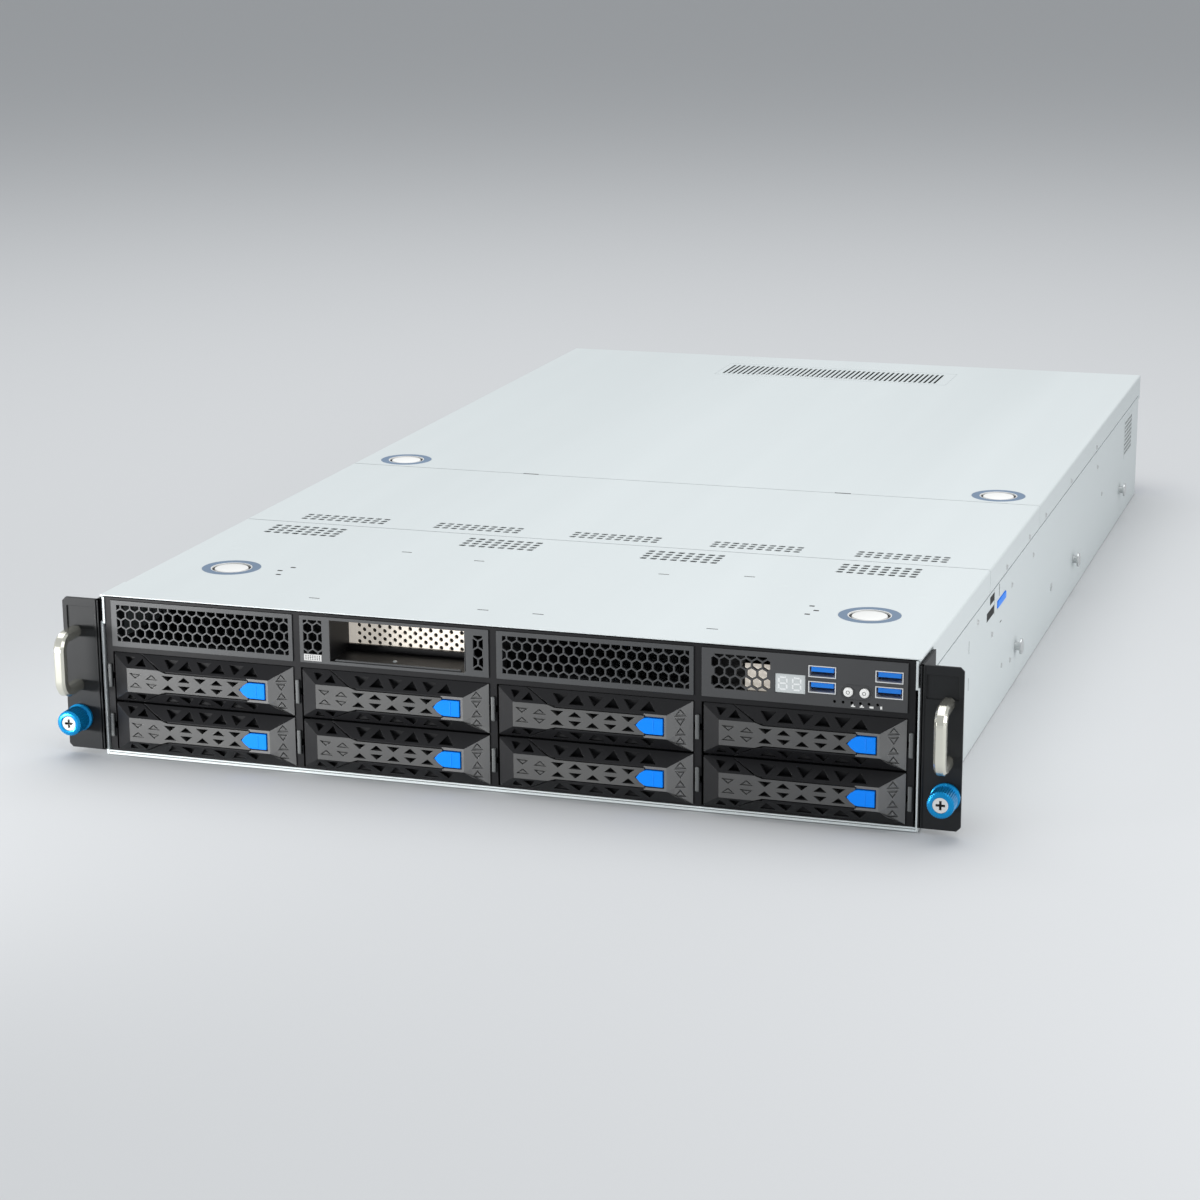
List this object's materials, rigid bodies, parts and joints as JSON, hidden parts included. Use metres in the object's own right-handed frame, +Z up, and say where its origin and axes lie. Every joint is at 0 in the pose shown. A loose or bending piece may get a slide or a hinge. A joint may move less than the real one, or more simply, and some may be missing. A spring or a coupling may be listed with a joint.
{
  "type": "rack server",
  "caption": "Two-unit rack server with front disk carriers on levers, vented covers, fans and hot-swap power supplies.",
  "frame": {"origin": "middle of the footprint on the underside", "axes": "+X to the right seen from the front, +Y from front to rear, +Z up"},
  "size_m": [0.4826, 0.846, 0.088],
  "materials": {
    "case_steel": "zinc-coated sheet, satin",
    "black_steel": "black powder coat",
    "green_board": "glass-fibre board with green solder mask",
    "bright_handle": "nickel-plated bar",
    "grille_grey": "dark grey moulding",
    "ivory_plate": "pale perforated sheet",
    "display_window": "dark window with pale digits",
    "socket_metal": "folded bright shells",
    "stud_steel": "turned steel",
    "fan_black": "black moulding",
    "sink_aluminium": "finned aluminium",
    "blue_knob": "blue anodised, turned",
    "button_white": "white moulding",
    "latch_blue": "bright blue moulding",
    "supply_steel": "bare sheet case",
    "carrier_black": "black moulding",
    "lever_grey": "grey moulding, fine texture"
  },
  "bodies": {
    "server_case": {"chassis_base": "case_steel", "drive_cage": "black_steel", "drive_backplane": "green_board", "centre_bridge": "case_steel", "rack_ears": "black_steel", "pull_handles": "bright_handle", "bay_blanks": "grille_grey", "expansion_bay": "grille_grey", "perforated_plate": "ivory_plate", "control_panel": "grille_grey", "digit_display": "display_window", "connector_ports": "socket_metal", "rail_studs": "stud_steel", "fan_frames": "fan_black", "motherboard": "green_board", "cpu_heatsinks": "sink_aluminium", "memory_modules": "green_board", "riser_cards": "green_board", "rear_panel": "case_steel"},
    "front_cover": {"front_cover": "case_steel"},
    "rear_cover": {"rear_cover": "case_steel"},
    "left_thumbscrew": {"left_thumbscrew": "blue_knob"},
    "right_thumbscrew": {"right_thumbscrew": "blue_knob"},
    "power_button": {"power_button": "button_white"},
    "locator_button": {"locator_button": "button_white"},
    "cover_latch_left": {"cover_latch_left": "latch_blue"},
    "cover_latch_right": {"cover_latch_right": "latch_blue"},
    "fan_rotor_1": {"fan_rotor_1": "fan_black"},
    "fan_rotor_2": {"fan_rotor_2": "fan_black"},
    "fan_rotor_3": {"fan_rotor_3": "fan_black"},
    "fan_rotor_4": {"fan_rotor_4": "fan_black"},
    "fan_rotor_5": {"fan_rotor_5": "fan_black"},
    "power_supply_1": {"power_supply_1": "supply_steel"},
    "supply_latch_1": {"supply_latch_1": "latch_blue"},
    "power_supply_2": {"power_supply_2": "supply_steel"},
    "supply_latch_2": {"supply_latch_2": "latch_blue"},
    "carrier_1": {"carrier_1": "carrier_black"},
    "lever_1": {"lever_1": "lever_grey"},
    "release_1": {"release_1": "latch_blue"},
    "carrier_2": {"carrier_2": "carrier_black"},
    "lever_2": {"lever_2": "lever_grey"},
    "release_2": {"release_2": "latch_blue"},
    "carrier_3": {"carrier_3": "carrier_black"},
    "lever_3": {"lever_3": "lever_grey"},
    "release_3": {"release_3": "latch_blue"},
    "carrier_4": {"carrier_4": "carrier_black"},
    "lever_4": {"lever_4": "lever_grey"},
    "release_4": {"release_4": "latch_blue"},
    "carrier_5": {"carrier_5": "carrier_black"},
    "lever_5": {"lever_5": "lever_grey"},
    "release_5": {"release_5": "latch_blue"},
    "carrier_6": {"carrier_6": "carrier_black"},
    "lever_6": {"lever_6": "lever_grey"},
    "release_6": {"release_6": "latch_blue"},
    "carrier_7": {"carrier_7": "carrier_black"},
    "lever_7": {"lever_7": "lever_grey"},
    "release_7": {"release_7": "latch_blue"},
    "carrier_8": {"carrier_8": "carrier_black"},
    "lever_8": {"lever_8": "lever_grey"},
    "release_8": {"release_8": "latch_blue"}
  },
  "joints": [
    {"name": "front_cover_lift", "type": "slide", "parent": "server_case", "child": "front_cover", "axis": [0, 0, 1], "range_m": [0, 0.12]},
    {"name": "rear_cover_lift", "type": "slide", "parent": "server_case", "child": "rear_cover", "axis": [0, 0, 1], "range_m": [0, 0.12]},
    {"name": "left_thumbscrew_turn", "type": "hinge", "parent": "server_case", "child": "left_thumbscrew", "pos_m": [-0.2338, -0.402, 0.0201], "axis": [0, -1, 0], "continuous": true},
    {"name": "right_thumbscrew_turn", "type": "hinge", "parent": "server_case", "child": "right_thumbscrew", "pos_m": [0.2338, -0.402, 0.0201], "axis": [0, -1, 0], "continuous": true},
    {"name": "power_button_press", "type": "slide", "parent": "server_case", "child": "power_button", "axis": [0, 1, 0], "range_m": [0, 0.001], "stiffness_N_per_m": 400},
    {"name": "locator_button_press", "type": "slide", "parent": "server_case", "child": "locator_button", "axis": [0, 1, 0], "range_m": [0, 0.001], "stiffness_N_per_m": 400},
    {"name": "cover_latch_left_press", "type": "slide", "parent": "server_case", "child": "cover_latch_left", "axis": [1, 0, 0], "range_m": [0, 0.002], "stiffness_N_per_m": 500},
    {"name": "cover_latch_right_press", "type": "slide", "parent": "server_case", "child": "cover_latch_right", "axis": [-1, 0, 0], "range_m": [0, 0.002], "stiffness_N_per_m": 500},
    {"name": "fan_spin_1", "type": "hinge", "parent": "server_case", "child": "fan_rotor_1", "pos_m": [-0.166, -0.16, 0.0412], "axis": [0, 1, 0], "continuous": true},
    {"name": "fan_spin_2", "type": "hinge", "parent": "server_case", "child": "fan_rotor_2", "pos_m": [-0.083, -0.16, 0.0412], "axis": [0, 1, 0], "continuous": true},
    {"name": "fan_spin_3", "type": "hinge", "parent": "server_case", "child": "fan_rotor_3", "pos_m": [0, -0.16, 0.0412], "axis": [0, 1, 0], "continuous": true},
    {"name": "fan_spin_4", "type": "hinge", "parent": "server_case", "child": "fan_rotor_4", "pos_m": [0.083, -0.16, 0.0412], "axis": [0, 1, 0], "continuous": true},
    {"name": "fan_spin_5", "type": "hinge", "parent": "server_case", "child": "fan_rotor_5", "pos_m": [0.166, -0.16, 0.0412], "axis": [0, 1, 0], "continuous": true},
    {"name": "supply_slide_1", "type": "slide", "parent": "server_case", "child": "power_supply_1", "axis": [0, 1, 0], "range_m": [0, 0.15]},
    {"name": "supply_latch_squeeze_1", "type": "slide", "parent": "power_supply_1", "child": "supply_latch_1", "axis": [-1, 0, 0], "range_m": [0, 0.0025], "stiffness_N_per_m": 600},
    {"name": "supply_slide_2", "type": "slide", "parent": "server_case", "child": "power_supply_2", "axis": [0, 1, 0], "range_m": [0, 0.15]},
    {"name": "supply_latch_squeeze_2", "type": "slide", "parent": "power_supply_2", "child": "supply_latch_2", "axis": [-1, 0, 0], "range_m": [0, 0.0025], "stiffness_N_per_m": 600},
    {"name": "carrier_slide_1", "type": "slide", "parent": "server_case", "child": "carrier_1", "axis": [0, -1, 0], "range_m": [0, 0.13]},
    {"name": "lever_swing_1", "type": "hinge", "parent": "carrier_1", "child": "lever_1", "pos_m": [-0.2086, -0.3974, 0.04405], "axis": [0, 0, -1], "range_deg": [0, 60]},
    {"name": "release_push_1", "type": "slide", "parent": "carrier_1", "child": "release_1", "axis": [0, 1, 0], "range_m": [0, 0.0015], "stiffness_N_per_m": 400},
    {"name": "carrier_slide_2", "type": "slide", "parent": "server_case", "child": "carrier_2", "axis": [0, -1, 0], "range_m": [0, 0.13]},
    {"name": "lever_swing_2", "type": "hinge", "parent": "carrier_2", "child": "lever_2", "pos_m": [-0.1007, -0.3974, 0.04405], "axis": [0, 0, -1], "range_deg": [0, 60]},
    {"name": "release_push_2", "type": "slide", "parent": "carrier_2", "child": "release_2", "axis": [0, 1, 0], "range_m": [0, 0.0015], "stiffness_N_per_m": 400},
    {"name": "carrier_slide_3", "type": "slide", "parent": "server_case", "child": "carrier_3", "axis": [0, -1, 0], "range_m": [0, 0.13]},
    {"name": "lever_swing_3", "type": "hinge", "parent": "carrier_3", "child": "lever_3", "pos_m": [0.0072, -0.3974, 0.04405], "axis": [0, 0, -1], "range_deg": [0, 60]},
    {"name": "release_push_3", "type": "slide", "parent": "carrier_3", "child": "release_3", "axis": [0, 1, 0], "range_m": [0, 0.0015], "stiffness_N_per_m": 400},
    {"name": "carrier_slide_4", "type": "slide", "parent": "server_case", "child": "carrier_4", "axis": [0, -1, 0], "range_m": [0, 0.13]},
    {"name": "lever_swing_4", "type": "hinge", "parent": "carrier_4", "child": "lever_4", "pos_m": [0.1151, -0.3974, 0.04405], "axis": [0, 0, -1], "range_deg": [0, 60]},
    {"name": "release_push_4", "type": "slide", "parent": "carrier_4", "child": "release_4", "axis": [0, 1, 0], "range_m": [0, 0.0015], "stiffness_N_per_m": 400},
    {"name": "carrier_slide_5", "type": "slide", "parent": "server_case", "child": "carrier_5", "axis": [0, -1, 0], "range_m": [0, 0.13]},
    {"name": "lever_swing_5", "type": "hinge", "parent": "carrier_5", "child": "lever_5", "pos_m": [-0.2086, -0.3974, 0.01665], "axis": [0, 0, -1], "range_deg": [0, 60]},
    {"name": "release_push_5", "type": "slide", "parent": "carrier_5", "child": "release_5", "axis": [0, 1, 0], "range_m": [0, 0.0015], "stiffness_N_per_m": 400},
    {"name": "carrier_slide_6", "type": "slide", "parent": "server_case", "child": "carrier_6", "axis": [0, -1, 0], "range_m": [0, 0.13]},
    {"name": "lever_swing_6", "type": "hinge", "parent": "carrier_6", "child": "lever_6", "pos_m": [-0.1007, -0.3974, 0.01665], "axis": [0, 0, -1], "range_deg": [0, 60]},
    {"name": "release_push_6", "type": "slide", "parent": "carrier_6", "child": "release_6", "axis": [0, 1, 0], "range_m": [0, 0.0015], "stiffness_N_per_m": 400},
    {"name": "carrier_slide_7", "type": "slide", "parent": "server_case", "child": "carrier_7", "axis": [0, -1, 0], "range_m": [0, 0.13]},
    {"name": "lever_swing_7", "type": "hinge", "parent": "carrier_7", "child": "lever_7", "pos_m": [0.0072, -0.3974, 0.01665], "axis": [0, 0, -1], "range_deg": [0, 60]},
    {"name": "release_push_7", "type": "slide", "parent": "carrier_7", "child": "release_7", "axis": [0, 1, 0], "range_m": [0, 0.0015], "stiffness_N_per_m": 400},
    {"name": "carrier_slide_8", "type": "slide", "parent": "server_case", "child": "carrier_8", "axis": [0, -1, 0], "range_m": [0, 0.13]},
    {"name": "lever_swing_8", "type": "hinge", "parent": "carrier_8", "child": "lever_8", "pos_m": [0.1151, -0.3974, 0.01665], "axis": [0, 0, -1], "range_deg": [0, 60]},
    {"name": "release_push_8", "type": "slide", "parent": "carrier_8", "child": "release_8", "axis": [0, 1, 0], "range_m": [0, 0.0015], "stiffness_N_per_m": 400}
  ]
}
